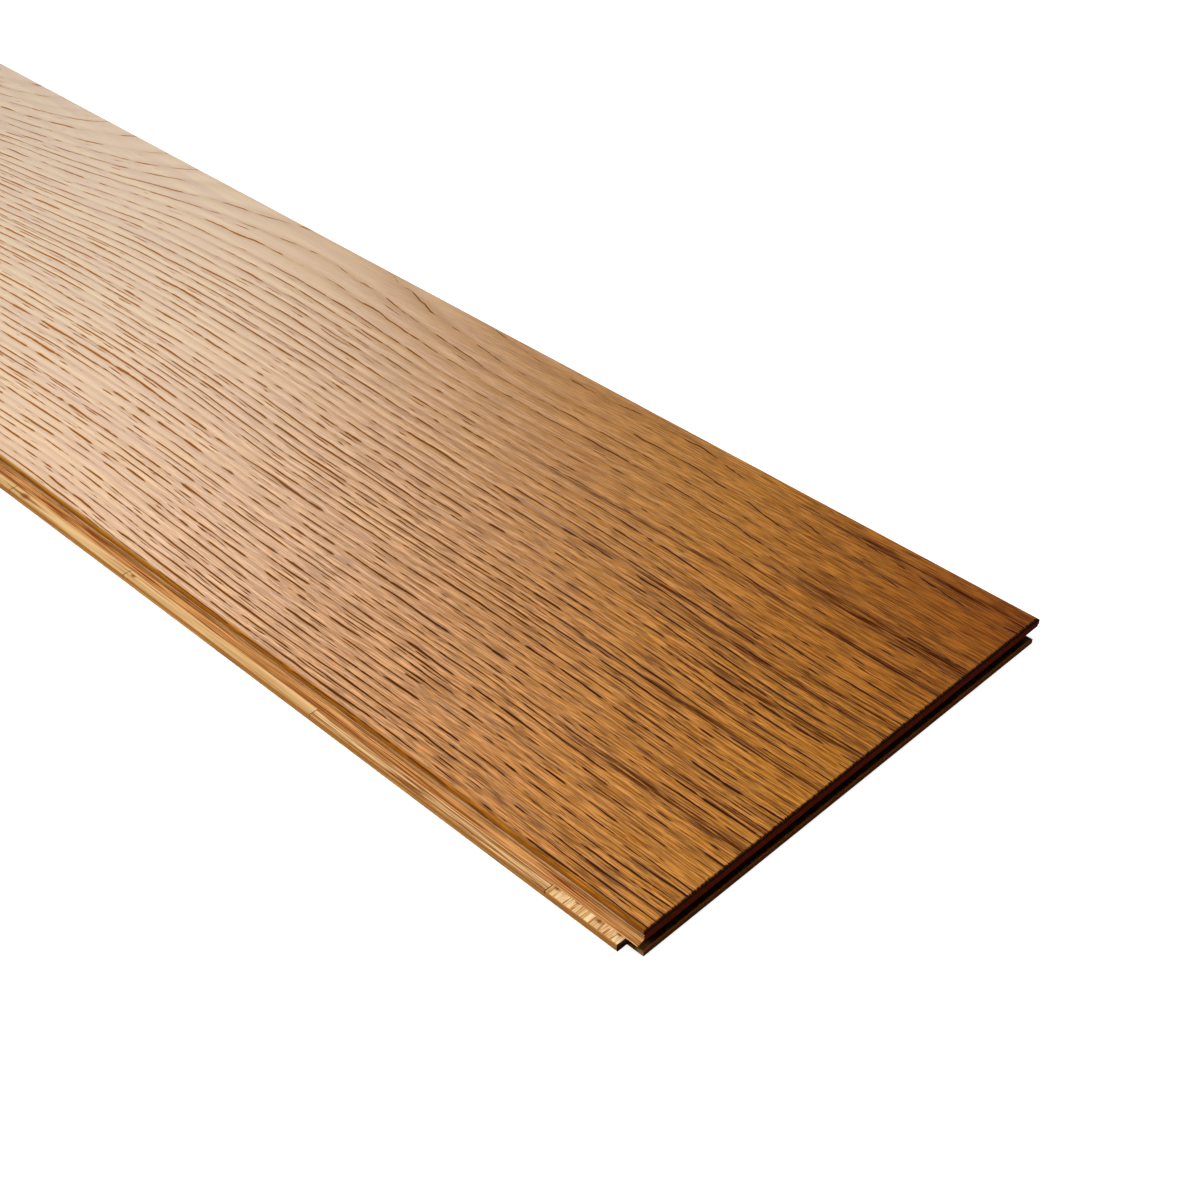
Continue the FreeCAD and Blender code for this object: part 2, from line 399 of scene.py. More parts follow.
bpy.ops.object.mode_set(mode="EDIT")
bpy.ops.mesh.select_mode(type="EDGE")
bpy.ops.mesh.select_all(action="SELECT")
bpy.ops.mesh.region_to_loop()
bpy.ops.mesh.extrude_edges_move(TRANSFORM_OT_translate={"value": (0, 0, -BEVEL * MM)})
bpy.ops.transform.resize(value=widening, center_override=face_middle * MM)
for drop in (HIGHLIGHT_BAND, side_height - HIGHLIGHT_BAND - FOOT_RISE, FOOT_RISE):
    bpy.ops.mesh.extrude_edges_move(TRANSFORM_OT_translate={"value": (0, 0, -drop * MM)})
bpy.ops.mesh.edge_face_add()
bpy.ops.object.mode_set(mode="OBJECT")
print("side of the oak:", round(side_height, 3), "mm under a bevel of", BEVEL, "mm")

# %% [markdown]
# ## The foot and the lip
# The foot on the tongue is the lowest row of points, drawn out sideways, and the groove's lip is drawn in
# to make room for the neighbour's foot. Both are moved in edit mode, once the right points are selected
# by their place.

# %% Foot and lip
# Points that lie this near to a place, in millimetres, are taken to be on it
TINY = 0.01
# The lip is cut a little higher than the neighbour's foot, at the same slope
FOOT_ROOM = 0.15
RELIEF_RISE = FOOT_RISE + FOOT_ROOM
RELIEF_REACH = FOOT_REACH * RELIEF_RISE / FOOT_RISE
foot_top = GLUE_LINE + FOOT_RISE


def select_points(piece, wanted):
    """Selects the points of a piece, in millimetres, that the test picks, and leaves edit mode open."""
    bpy.ops.object.mode_set(mode="EDIT")
    bpy.ops.mesh.select_mode(type="VERT")
    bpy.ops.mesh.select_all(action="DESELECT")
    bpy.ops.object.mode_set(mode="OBJECT")
    for point in piece.data.vertices:
        point.select = wanted(point.co / MM)
    bpy.ops.object.mode_set(mode="EDIT")


select_points(oak_face, lambda p: p.z < GLUE_LINE + TINY and p.y < TONGUE_SIDE + TINY)
bpy.ops.transform.translate(value=(0, -FOOT_REACH * MM, 0))
bpy.ops.object.mode_set(mode="OBJECT")
select_points(oak_face, lambda p: p.z < GLUE_LINE + TINY and p.y > GROOVE_SIDE - TINY)
bpy.ops.transform.translate(value=(0, -RELIEF_REACH * MM, 0))
bpy.ops.object.mode_set(mode="OBJECT")
select_points(oak_face, lambda p: abs(p.z - foot_top) < TINY and p.y > GROOVE_SIDE - TINY)
bpy.ops.transform.translate(value=(0, 0, FOOT_ROOM * MM))
bpy.ops.mesh.select_all(action="SELECT")
bpy.ops.mesh.normals_make_consistent(inside=False)
bpy.ops.object.mode_set(mode="OBJECT")
print("oak face:", len(oak_face.data.polygons), "faces")

# %% [markdown]
# ## The brushed relief
# A wire brush takes more from the soft early wood than from the rest, so the face drops along the rows of
# pores. The relief is put in by Geometry Nodes, which read the grain at each point of the grid and lower
# it, and the modifier is then applied. Only points of the top are lowered, its border with them, so that
# the bevel's upper edge gets the notches that the real one has. Real pores fall between the points of the
# grid, so they are longer and wider here than in the stain.

# %% Brushed relief
LARGE_DEPTH = 0.10
SMALL_DEPTH = 0.04
EARLY_DEPTH = 0.07
MESH_PORE_LENGTH = 30.0
MESH_PORE_SPREAD = 2.0

relief = bpy.data.node_groups.new("brushed_relief", "GeometryNodeTree")
relief.is_modifier = True
relief.interface.new_socket(name="Geometry", in_out="INPUT", socket_type="NodeSocketGeometry")
relief.interface.new_socket(name="Geometry", in_out="OUTPUT", socket_type="NodeSocketGeometry")
piece_in = add(relief, "NodeGroupInput")
metres = add(relief, "GeometryNodeInputPosition")
place = add(relief, "ShaderNodeVectorMath", {0: metres, "Scale": 1 / MM}, operation="SCALE")
grain = oak_grain(relief, place, MESH_PORE_LENGTH, MESH_PORE_SPREAD)
hollow = add(relief, "ShaderNodeMath", {0: grain["large"], 1: -LARGE_DEPTH * MM}, operation="MULTIPLY")
for part, part_depth in (("small", SMALL_DEPTH), ("early", EARLY_DEPTH)):
    hollow = add(relief, "ShaderNodeMath", {0: grain[part], 1: -part_depth * MM, 2: hollow},
                 operation="MULTIPLY_ADD")
height = add(relief, "ShaderNodeSeparateXYZ", {0: metres}).outputs["Z"]
on_top = add(relief, "ShaderNodeMath", {0: height, 1: (FACE_TOP - TINY) * MM}, operation="GREATER_THAN")
lowered = add(relief, "ShaderNodeCombineXYZ", {2: hollow})
brushed = add(relief, "GeometryNodeSetPosition",
              {"Geometry": piece_in, "Selection": on_top, "Offset": lowered})
add(relief, "NodeGroupOutput", {0: brushed})

modifier = oak_face.modifiers.new("brushed_relief", "NODES")
modifier.node_group = relief
bpy.ops.object.modifier_apply(modifier=modifier.name)
heights = [point.co.z / MM for point in oak_face.data.vertices if point.co.z / MM > FACE_TOP - BEVEL / 2]
print("relief from", round(min(heights), 3), "to", round(max(heights), 3), "mm")

# %% [markdown]
# ## Stained oak: ground and fibres
# The stain soaks into the open pores and stays thin on the hard ridges, so the ridges are golden and the
# pores brown. Towards the grooved end the pores turn nearly black, partly from deeper stain and partly as
# painted shade. The colours are laid one over the other, as a painter glazes: first the ground, then the
# broad figure of the board, then its fibres, whose pale tones are partly painted highlights on their
# crests. One table lists the fibres' tones, and a loop lays them.

# %% Ground and fibres
RIDGE = "#B28632"
END_RIDGE = "#BA7712"
DEEP_RIDGE = "#A26A12"
HOLLOW = "#6C3A06"
PALE_AND_HIGHLIGHT = "#D2841C"
GROUND_FROM = 0.2
FIGURE_FROM = 0.35
FIGURE_TO = 0.65
FIGURE_SHARE = 0.65
# Streaks of fibre: the noise they follow, the values of it at which they start and are whole, the depths of
# stain between which they come in, their shares at those depths, and their tone. Real fibres are a tenth as
# wide as the weave: it is drawn coarser, because the camera would lose it
FIBRE_TONES = {
    # The pale crest and upper weave tones are partly paler fibres and partly painted highlights and glints
    # on the fibre crests
    "crest": ("fibres", 0.44, 0.36, 0.45, 1.0, 0.0, 0.6, PALE_AND_HIGHLIGHT),
    "hollow": ("fibres", 0.5, 0.57, 0.35, 1.0, 0.06, 0.72, HOLLOW),
    "weave_low": ("weave", 0.52, 0.6, 0.4, 0.9, 0.0, 0.55, HOLLOW),
    "weave_high": ("weave", 0.47, 0.39, 0.4, 0.9, 0.0, 0.55, PALE_AND_HIGHLIGHT),
}
# Share of dark tone in the soft early wood, where the stain is thinnest and where it is deepest
SOFT_LEAST = 0.06
SOFT_MOST = 0.25


def new_material(name):
    """An empty node material and its tree."""
    material = bpy.data.materials.new(name)
    material.use_nodes = True
    material.node_tree.nodes.clear()
    return material, material.node_tree


def place_on_piece(tree):
    """The place on the piece in millimetres."""
    metres = add(tree, "ShaderNodeTexCoord").outputs["Object"]
    return add(tree, "ShaderNodeVectorMath", {0: metres, "Scale": 1 / MM}, operation="SCALE")


# Lacquered oak: a satin sheen over golden ridges, with dull dark dashes
stained_oak, tree = new_material("stained_oak_satin_lacquer")
grain = oak_grain(tree, place_on_piece(tree))
stain_depth = grain["stain_depth"]
ground = add(tree, "ShaderNodeMapRange", {0: stain_depth, 1: GROUND_FROM, 2: 1.0})
colour = add(tree, "ShaderNodeMix", {"Factor": ground, "A": linear(RIDGE), "B": linear(END_RIDGE)},
             data_type="RGBA")
figure = add(tree, "ShaderNodeMapRange",
             {0: grain["figure"], 1: FIGURE_FROM, 2: FIGURE_TO, 3: 0.0, 4: FIGURE_SHARE})
colour = add(tree, "ShaderNodeMix", {"Factor": figure, "A": colour, "B": linear(DEEP_RIDGE)},
             data_type="RGBA")
fibre_parts = {}
for name, (noise, starts, whole, thin, deep, least, most, tone) in FIBRE_TONES.items():
    part = add(tree, "ShaderNodeMapRange", {0: grain[noise], 1: starts, 2: whole})
    share = add(tree, "ShaderNodeMapRange", {0: stain_depth, 1: thin, 2: deep, 3: least, 4: most})
    part = add(tree, "ShaderNodeMath", {0: part, 1: share}, operation="MULTIPLY")
    colour = add(tree, "ShaderNodeMix", {"Factor": part, "A": colour, "B": linear(tone)}, data_type="RGBA")
    fibre_parts[name] = part
soft_share = add(tree, "ShaderNodeMapRange", {0: stain_depth, 1: 0.0, 2: 1.0, 3: SOFT_LEAST, 4: SOFT_MOST})
soft_wood = add(tree, "ShaderNodeMath", {0: grain["early"], 1: soft_share}, operation="MULTIPLY")
colour = add(tree, "ShaderNodeMix", {"Factor": soft_wood, "A": colour, "B": linear(HOLLOW)},
             data_type="RGBA")
print("fibres are laid in", len(fibre_parts), "tones")

# %% [markdown]
# ## Stained oak: soaked rows
# At the grooved end some rows of the real board drank so much stain that they show as dark streaks, which
# fade out along the board. They lie where the photograph shows them, and the fibres break them up, so that
# they don't look ruled. The two corners on the groove's side are painted darker as a whole, as shade.

# %% Soaked rows
STREAK = "#522606"
CORNER_SHADE = "#C8A68C"
# Soaked rows: place across the board, half width and length, in millimetres
SOAKED_ROWS = (
    (94.0, 2.2, 120.0),
    (60.0, 4.5, 90.0),
    (47.5, 1.2, 230.0),
    (27.0, 1.3, 200.0),
    (21.5, 2.0, 110.0),
    (8.5, 2.4, 80.0),
    (-10.5, 1.5, 120.0),
    (-36.5, 1.6, 70.0),
    (-47.0, 3.4, 90.0),
)
# A row is whole in this part of its width, and starts to fade at this part of its length
ROW_CORE = 0.3
ROW_FADE = 0.6
# The broad figure soaks too: the noise at which that starts and is whole, and its share
SOAK_FROM = 0.58
SOAK_TO = 0.72
SOAK_SHARE = 0.6
# Fibres break the rows up: the noise at which the least is left, and at which all of it is
BREAK_FROM = 0.4
BREAK_TO = 0.54
BREAK_LEAST = 0.3
# The painted shade of the corners grows over these distances, across the board from its middle and along it
# to the end
CORNER_ACROSS = 95.0
CORNER_ALONG = 110.0

soaked = add(tree, "ShaderNodeMapRange",
             {0: grain["figure"], 1: SOAK_FROM, 2: SOAK_TO, 3: 0.0, 4: SOAK_SHARE})
soaked = add(tree, "ShaderNodeMath", {0: soaked, 1: grain["near_end"]}, operation="MULTIPLY")
for row, half_width, length in SOAKED_ROWS:
    gap = add(tree, "ShaderNodeMath", {0: grain["wander"], 1: row}, operation="SUBTRACT")
    gap = add(tree, "ShaderNodeMath", {0: gap}, operation="ABSOLUTE")
    band = add(tree, "ShaderNodeMapRange", {0: gap, 1: half_width, 2: ROW_CORE * half_width})
    fade = add(tree, "ShaderNodeMapRange", {0: grain["from_groove_end"], 1: length, 2: ROW_FADE * length})
    band = add(tree, "ShaderNodeMath", {0: band, 1: fade}, operation="MULTIPLY")
    soaked = add(tree, "ShaderNodeMath", {0: soaked, 1: band}, operation="MAXIMUM")
uneven = add(tree, "ShaderNodeMapRange",
             {0: grain["fibres"], 1: BREAK_FROM, 2: BREAK_TO, 3: BREAK_LEAST, 4: 1.0})
soaked = add(tree, "ShaderNodeMath", {0: soaked, 1: uneven}, operation="MULTIPLY")
colour = add(tree, "ShaderNodeMix", {"Factor": soaked, "A": colour, "B": linear(STREAK)}, data_type="RGBA")
# Painted shade at both corners on the groove's side
far_side = add(tree, "ShaderNodeMapRange", {0: grain["across"], 1: 0.0, 2: CORNER_ACROSS})
near_corner = add(tree, "ShaderNodeMapRange", {0: grain["end_distance"], 1: CORNER_ALONG, 2: 0.0})
corner = add(tree, "ShaderNodeMath", {0: far_side, 1: near_corner}, operation="MULTIPLY")
colour = add(tree, "ShaderNodeMix", {"Factor": corner, "A": colour, "B": linear(CORNER_SHADE)}, data_type="RGBA",
             blend_type="MULTIPLY")
print("soaked rows:", len(SOAKED_ROWS))

# %% [markdown]
# ## Stained oak: pores
# Each dash has a dark core and a softer rim, because the stain creeps out of the open pore into the wood
# beside it. Both are brown along most of the board and turn much darker towards the grooved end: partly
# deeper stain, and partly painted shade in pores that the window doesn't light there.

# %% Pores
HALO = "#B06A1C"
PORE = "#AB6721"
# Pores at the grooved end: deep stain with painted shade
END_PORE_STAIN_AND_SHADE = "#3A1604"
LINE_SHARE = 0.4
# How far up the side of a dash the rim is whole, and where the core starts and is whole
RIM_FULL = 0.35
CORE_FROM = 0.12
CORE_TO = 0.38
# Depths of stain between which the pores darken, as deeper stain and painted shade, and how much of that
# the rim takes part in
DARKEN_FROM = 0.15
DARKEN_TO = 0.9
RIM_DARKENS = 0.7

row_line = add(tree, "ShaderNodeMath", {0: grain["line"], 1: LINE_SHARE}, operation="MULTIPLY")
colour = add(tree, "ShaderNodeMix", {"Factor": row_line, "A": colour, "B": linear(HALO)}, data_type="RGBA")
dashes = add(tree, "ShaderNodeMath", {0: grain["large"], 1: grain["small"]}, operation="MAXIMUM")
# Pores and rims darken towards the grooved end: deeper stain and painted shade
pore_stain_and_shade = add(tree, "ShaderNodeMapRange", {0: stain_depth, 1: DARKEN_FROM, 2: DARKEN_TO})
halo_stain_and_shade = add(tree, "ShaderNodeMath", {0: pore_stain_and_shade, 1: RIM_DARKENS}, operation="MULTIPLY")
halo_tone = add(tree, "ShaderNodeMix", {"Factor": halo_stain_and_shade, "A": linear(HALO), "B": linear(STREAK)},
                data_type="RGBA")
pore_tone = add(tree, "ShaderNodeMix", {"Factor": pore_stain_and_shade, "A": linear(PORE), "B": linear(END_PORE_STAIN_AND_SHADE)},
                data_type="RGBA")
halo = add(tree, "ShaderNodeMapRange", {0: dashes, 1: 0.0, 2: RIM_FULL})
core = add(tree, "ShaderNodeMapRange", {0: dashes, 1: CORE_FROM, 2: CORE_TO})
for share, tone in ((halo, halo_tone), (core, pore_tone)):
    colour = add(tree, "ShaderNodeMix", {"Factor": share, "A": colour, "B": tone}, data_type="RGBA")
print("large pores are about", 2 * LARGE_PORES[1], "mm wide and", PORE_LENGTH, "mm long")

# %% [markdown]
# ## Stained oak: edges
# A bevel cuts the fibres, so it drinks more stain than the flat face, and so does a narrow strip beside it
# on the tongue's side, where the roller leaves a bead. Across the ends the top is nearly black, partly
# stain and partly painted shade, as the ends face away from the lights; the border is ragged, because each
# open fibre drinks for itself.

# %% Edges
EDGE_STAIN = "#6C380A"
# Nearly black across the ends: stain and painted shade
END_STAIN_AND_SHADE = "#2A1106"
# Depths under the face at which the bevel's tone starts and is whole, and its share
BEVEL_FROM = 0.17
BEVEL_TO = 0.32
BEVEL_SHARE = 0.65
# Distances from the tongue's side at which the edge's tone starts and is whole, and its share
EDGE_FROM = 2.3
EDGE_TO = 1.2
EDGE_SHARE = 0.4
# Distances from the ends at which the black starts and is whole, and how far the fibres push them about
END_FROM = 1.7
END_TO = 1.3
RAGGED = 1.6

on_bevel = add(tree, "ShaderNodeMapRange",
               {0: grain["height"], 1: FACE_TOP - BEVEL_FROM, 2: FACE_TOP - BEVEL_TO})
bevel_tone = add(tree, "ShaderNodeMath", {0: on_bevel, 1: BEVEL_SHARE}, operation="MULTIPLY")
on_edge = add(tree, "ShaderNodeMapRange",
              {0: grain["across"], 1: TONGUE_SIDE + EDGE_FROM, 2: TONGUE_SIDE + EDGE_TO})
edge_tone = add(tree, "ShaderNodeMath", {0: on_edge, 1: EDGE_SHARE}, operation="MULTIPLY")
# The ends' stain and painted shade, with a ragged border
ragged = add(tree, "ShaderNodeMath", {0: grain["flecks"], 1: RAGGED, 2: grain["end_distance"]},
             operation="MULTIPLY_ADD")
end_stain_and_shade = add(tree, "ShaderNodeMapRange", {0: ragged, 1: END_FROM, 2: END_TO})
for share, tone in ((bevel_tone, EDGE_STAIN), (edge_tone, EDGE_STAIN), (end_stain_and_shade, END_STAIN_AND_SHADE)):
    colour = add(tree, "ShaderNodeMix", {"Factor": share, "A": colour, "B": linear(tone)}, data_type="RGBA")
print("edges are darker within", EDGE_FROM, "mm of the tongue's side")

# %% [markdown]
# ## Stained oak: lacquer
# A satin lacquer covers the face, thin enough to follow the fibres. It shines on the ridges and hardly in
# the torn pores, which is what makes the pores show where the face mirrors the window. So everything that
# is torn, soaked or cut takes away from the coat and from the wood's own sheen. Fibres and pores that are
# too fine for the mesh are bump.

# %% Lacquer
SOFT_DULL = 2.0
CORNER_DULL = 0.6
RIDGE_SHEEN = 0.5
TORN_SHEEN = 0.02
LACQUER_IOR = 1.5
BUMP_STRENGTH = 0.8
# Heights of the bump in millimetres
FIBRE_HEIGHT = 0.022
FLECK_HEIGHT = 0.014
PORE_HEIGHT = -0.16

torn = add(tree, "ShaderNodeMath", {0: halo, 1: soaked}, operation="MAXIMUM")
soft_dull = add(tree, "ShaderNodeMath", {0: soft_wood, 1: SOFT_DULL}, operation="MULTIPLY")
corner_dull = add(tree, "ShaderNodeMath", {0: corner, 1: CORNER_DULL}, operation="MULTIPLY")
for rough_part in (on_bevel, on_edge, end_stain_and_shade, soft_dull, fibre_parts["hollow"], fibre_parts["weave_low"],
                   row_line, corner_dull):
    torn = add(tree, "ShaderNodeMath", {0: torn, 1: rough_part}, operation="MAXIMUM")
lacquer = add(tree, "ShaderNodeMapRange", {0: torn, 1: 0.0, 2: 1.0, 3: 1.0, 4: 0.0})
own_sheen = add(tree, "ShaderNodeMapRange", {0: torn, 1: 0.0, 2: 1.0, 3: RIDGE_SHEEN, 4: TORN_SHEEN})
fine_height = add(tree, "ShaderNodeMath", {0: grain["fibres"], 1: FIBRE_HEIGHT}, operation="MULTIPLY")
for pattern, pattern_height in ((grain["flecks"], FLECK_HEIGHT), (dashes, PORE_HEIGHT)):
    fine_height = add(tree, "ShaderNodeMath", {0: pattern, 1: pattern_height, 2: fine_height},
                      operation="MULTIPLY_ADD")
bump = add(tree, "ShaderNodeBump", {"Strength": BUMP_STRENGTH, "Distance": MM, "Height": fine_height})
surface = add(tree, "ShaderNodeBsdfPrincipled",
              {"Base Color": colour, "Roughness": 0.42, "IOR": LACQUER_IOR, "Specular IOR Level": own_sheen,
               "Normal": bump, "Coat Weight": lacquer, "Coat Roughness": 0.33, "Coat IOR": LACQUER_IOR,
               "Coat Normal": bump})
add(tree, "ShaderNodeOutputMaterial", {"Surface": surface})
print("stained oak has", len(tree.nodes), "nodes")

# %% [markdown]
# ## Bare wood
# Below the bevel the board has no finish. A cut along the fibres looks streaked, and a cut across them
# looks dark and speckled. One function draws every bare wood, with the direction of the fibres, the colours
# and the size of a streak as its values. The groove in the end lies in deep shade, so a share of painted
# shade can be laid on what faces the end or looks up, which makes it nearly black.

# %% Bare wood
KNOT = "#7A4318"
GROOVE_SHADE = "#1C0B05"
# Broad streaks and tears, as multiples of the fine streak
BROAD_LONGER = 3
BROAD_WIDER = 6
TEAR_SIZE = 1.4
# Noise at which the dark tone starts and is whole, then the same for tears
DARK_FROM = 0.8
DARK_TO = 1.2
TEAR_FROM = 0.57
TEAR_TO = 0.66
# Knots are twice as long as wide, and have a soft rim
KNOT_SHAPE = (0.5, 1.0, 1.0)
KNOT_RIM = 1.5
KNOT_HEART = 0.7
# How squarely a face has to cross the fibres to show end grain, and face the end or look up to take the
# painted shade
CUT_FROM = 0.15
CUT_TO = 0.5
SHADE_FROM = 0.8
SHADE_TO = 0.95
SPECKLES_PER_MM = 2.5
SPECKLE_SHARE = 0.4
STREAK_HEIGHT = 0.12


def bare_wood(name, fibre_along, pale, dark, torn, end_grain, streak_length, streak_width, seed,
              knots=(), end_shade=0.0, top_shade=0.0):
    """Milled wood with no finish: streaks along one axis, tears, knots, and end grain across it."""
    material, tree = new_material(name)
    place = place_on_piece(tree)
    parts = add(tree, "ShaderNodeSeparateXYZ", {0: place})
    x, y, z = (parts.outputs[axis] for axis in "XYZ")
    facing = add(tree, "ShaderNodeSeparateXYZ", {0: add(tree, "ShaderNodeTexCoord").outputs["Normal"]})
    along, across = (x, y) if fibre_along == "X" else (y, x)
    spread = add(tree, "ShaderNodeMath", {0: across, 1: z}, operation="ADD")
    flow = add(tree, "ShaderNodeCombineXYZ", {0: along, 1: spread})
    rough = streaks(tree, flow, streak_length, streak_width, seed, 3.0)
    broad = streaks(tree, flow, streak_length * BROAD_LONGER, streak_width * BROAD_WIDER, seed + 2.0, 2.0)
    mixed = add(tree, "ShaderNodeMath", {0: rough, 1: broad}, operation="ADD")
    tone = add(tree, "ShaderNodeMapRange", {0: mixed, 1: DARK_FROM, 2: DARK_TO})
    colour = add(tree, "ShaderNodeMix", {"Factor": tone, "A": linear(pale), "B": linear(dark)},
                 data_type="RGBA")
    tears = streaks(tree, flow, streak_length * TEAR_SIZE, streak_width * TEAR_SIZE, seed + 6.0, 2.0)
    tears = add(tree, "ShaderNodeMapRange", {0: tears, 1: TEAR_FROM, 2: TEAR_TO})
    colour = add(tree, "ShaderNodeMix", {"Factor": tears, "A": colour, "B": linear(torn)}, data_type="RGBA")
    for knot_x, knot_y, size in knots:
        gap = add(tree, "ShaderNodeVectorMath", {0: place, 1: (knot_x, knot_y, GLUE_LINE)},
                  operation="SUBTRACT")
        gap = add(tree, "ShaderNodeVectorMath", {0: gap, 1: KNOT_SHAPE}, operation="MULTIPLY")
        gap = add(tree, "ShaderNodeVectorMath", {0: gap}, operation="LENGTH").outputs["Value"]
        gap = add(tree, "ShaderNodeMath", {0: rough, 1: size, 2: gap}, operation="MULTIPLY_ADD")
        knot = add(tree, "ShaderNodeMapRange", {0: gap, 1: KNOT_RIM * size, 2: KNOT_HEART * size})
        colour = add(tree, "ShaderNodeMix", {"Factor": knot, "A": colour, "B": linear(KNOT)},
                     data_type="RGBA")
    cut = add(tree, "ShaderNodeMath", {0: facing.outputs[fibre_along]}, operation="ABSOLUTE")
    cut = add(tree, "ShaderNodeMapRange", {0: cut, 1: CUT_FROM, 2: CUT_TO})
    speckle = add(tree, "ShaderNodeTexNoise", {"Vector": place, "Scale": SPECKLES_PER_MM, "Detail": 3.0})
    speckle = add(tree, "ShaderNodeMapRange",
                  {0: speckle, 1: NOISE_LOW, 2: NOISE_HIGH, 3: 0.0, 4: SPECKLE_SHARE})
    end = add(tree, "ShaderNodeMix", {"Factor": speckle, "A": linear(end_grain), "B": linear(torn)},
              data_type="RGBA")
    colour = add(tree, "ShaderNodeMix", {"Factor": cut, "A": colour, "B": end}, data_type="RGBA")
    # Painted shade of the deep groove, laid on what faces the end or looks up
    for axis, share in (("X", end_shade), ("Z", top_shade)):
        shaded = add(tree, "ShaderNodeMapRange",
                     {0: facing.outputs[axis], 1: SHADE_FROM, 2: SHADE_TO, 3: 0.0, 4: share})
        colour = add(tree, "ShaderNodeMix", {"Factor": shaded, "A": colour, "B": linear(GROOVE_SHADE)},
                     data_type="RGBA")
    height = add(tree, "ShaderNodeMath", {0: rough, 1: STREAK_HEIGHT}, operation="MULTIPLY")
    bump = add(tree, "ShaderNodeBump", {"Strength": BUMP_STRENGTH, "Distance": MM, "Height": height})
    surface = add(tree, "ShaderNodeBsdfPrincipled",
                  {"Base Color": colour, "Roughness": 0.75, "IOR": 1.5, "Specular IOR Level": 0.03,
                   "Normal": bump})
    add(tree, "ShaderNodeOutputMaterial", {"Surface": surface})
    return material


print("bare wood is sealed with", GROOVE_SHADE)

# %% [markdown]
# ## Sides of the oak
# Three finishes meet on the edge of the face: the milled side, a thin pale line along the bevel's lower
# arris, which is a painted highlight, and the foot, which the knives tear because the oak there is thin.
# The stained top takes all that looks up and lies high. Each polygon gets its finish by where it looks and
# how high it lies, which is surer than painting them by hand.

# %% Sides of the oak
OAK_END = "#A8341A"
# How far a face has to look up, or towards the tongue's side, to count as such
LOOKS_UP = 0.3
LOOKS_OUT = -0.5
# A millimetre above the foot, only the top is left of what looks up
ABOVE_FOOT = 1
# Edges flatter than this angle are shaded smooth
SMOOTH_BELOW = math.radians(30)

# Milled oak of the side: tan, with long fine streaks
bare_oak = bare_wood("bare_oak_milled", "X", pale="#CEA068", dark="#8E602E", torn="#74441E",
                     end_grain=OAK_END, streak_length=18.0, streak_width=0.3, seed=1.1)
# Painted highlight along the bevel's lower arris: a thin grey line
arris_highlight = bare_wood("painted_arris_highlight", "X", pale="#C8BCA6", dark="#A0917A", torn="#8E744E",
                     end_grain=OAK_END, streak_length=6.0, streak_width=0.4, seed=8.2)
# The feathered foot: the same oak, torn and redder
oak_foot = bare_wood("bare_oak_foot", "X", pale="#CC965A", dark="#7A4418", torn="#743010",
                     end_grain=OAK_END, streak_length=24.0, streak_width=0.3, seed=5.2)


def finish_of(face):
    """The finish of one polygon of the oak face."""
    height = face.center.z / MM
    if face.normal.z > LOOKS_UP:
        return stained_oak if height > foot_top + ABOVE_FOOT else oak_foot
    # The band under the bevel on the tongue's side takes the painted highlight
    if face.normal.y < LOOKS_OUT and height > FACE_TOP - BEVEL - HIGHLIGHT_BAND:
        return arris_highlight
    return bare_oak


face_finishes = [stained_oak, bare_oak, oak_foot, arris_highlight]
for finish in face_finishes:
    oak_face.data.materials.append(finish)
for face in oak_face.data.polygons:
    face.material_index = face_finishes.index(finish_of(face))
select_nothing()
oak_face.select_set(True)
bpy.context.view_layer.objects.active = oak_face
bpy.ops.object.shade_smooth_by_angle(angle=SMOOTH_BELOW)
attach(oak_face, "root")
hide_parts("oak_wear_layer")
print("oak face has", len(oak_face.data.materials), "finishes")

# %% [markdown]
# ## Plies under the oak
# Each veneer is sliced from another log, so the layers differ in tone. The solids of these layers are
# good as they are, down to the rounded nose of the tongue, and only get a material. The strips of the
# upper ply follow what the photograph shows of the tongue, a pale one, a streaked one and then golden
# ones, and that pattern of five repeats to the far end.

# %% Plies
VENEER_END = "#B57C40"
# Shares of the groove's painted shade on faces towards the end and on faces looking up
END_SHADE = 0.85
TOP_SHADE = 0.7
STRIPS_IN_PATTERN = 5
# Knots on the tongue: place along and across the board and size, in millimetres
PALE_KNOTS = ((938.0, -95.3, 1.1), (945.5, -94.9, 0.8), (929.0, -94.7, 0.6), (921.0, -95.0, 0.9))
GOLDEN_KNOTS = ((650.0, -96.2, 1.6), (716.0, -96.0, 0.9))

# The strip at the end: pale, with clear fibres across the board and small knots
pale_veneer = bare_wood("pale_cross_veneer", "Y", pale="#E4C898", dark="#B88C52", torn="#A8642C",
                        end_grain=VENEER_END, streak_length=6.0, streak_width=0.32, seed=2.3,
                        knots=PALE_KNOTS, end_shade=END_SHADE)
# The second strip: torn oak lies along its tongue in brown streaks
streaked_veneer = bare_wood("streaked_veneer", "Y", pale="#D8B480", dark="#8C5828", torn="#6C3A18",
                            end_grain=VENEER_END, streak_length=0.4, streak_width=20.0, seed=6.1,
                            end_shade=END_SHADE)
# The other strips: pale gold, streaked along the tongue
golden_strip = bare_wood("golden_core_veneer", "Y", pale="#CDAA78", dark="#A87C48", torn="#8E602E",
                         end_grain=VENEER_END, streak_length=0.9, streak_width=45.0, seed=7.4,
                         knots=GOLDEN_KNOTS, end_shade=END_SHADE)
# The ply under the tongue: tan and coarse
tan_veneer = bare_wood("tan_cross_veneer", "Y", pale="#D4AF88", dark="#A07044", torn="#8E6034",
                       end_grain=VENEER_END, streak_length=9.0, streak_width=2.2, seed=7.4,
                       end_shade=END_SHADE)
